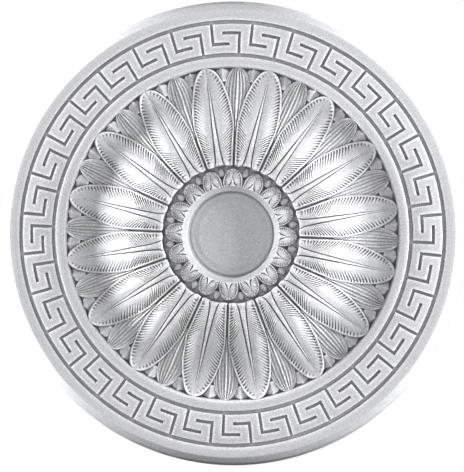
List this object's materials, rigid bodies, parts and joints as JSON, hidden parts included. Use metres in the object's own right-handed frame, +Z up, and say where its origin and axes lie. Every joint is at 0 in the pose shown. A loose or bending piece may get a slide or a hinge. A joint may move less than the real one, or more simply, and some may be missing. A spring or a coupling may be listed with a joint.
{
  "type": "ceiling rose",
  "caption": "Round moulded ceiling rose: key-pattern border round a dish of long leaves, with a raised petalled rosette and a recessed seat for a pendant lamp's canopy.",
  "frame": {"origin": "middle of the flat back face, which is fixed to the ceiling", "axes": "+Z up into the ceiling along the rose's axis; the ornament faces down, towards -Z; a small leaf of the second row and the picture's upper edge lie near -Y"},
  "size_m": [0.6, 0.6, 0.0396],
  "materials": {
    "moulded_foam": "matte white with a fine moulded grain"
  },
  "bodies": {
    "root": {"ceiling_rose": "moulded_foam"}
  },
  "joints": []
}
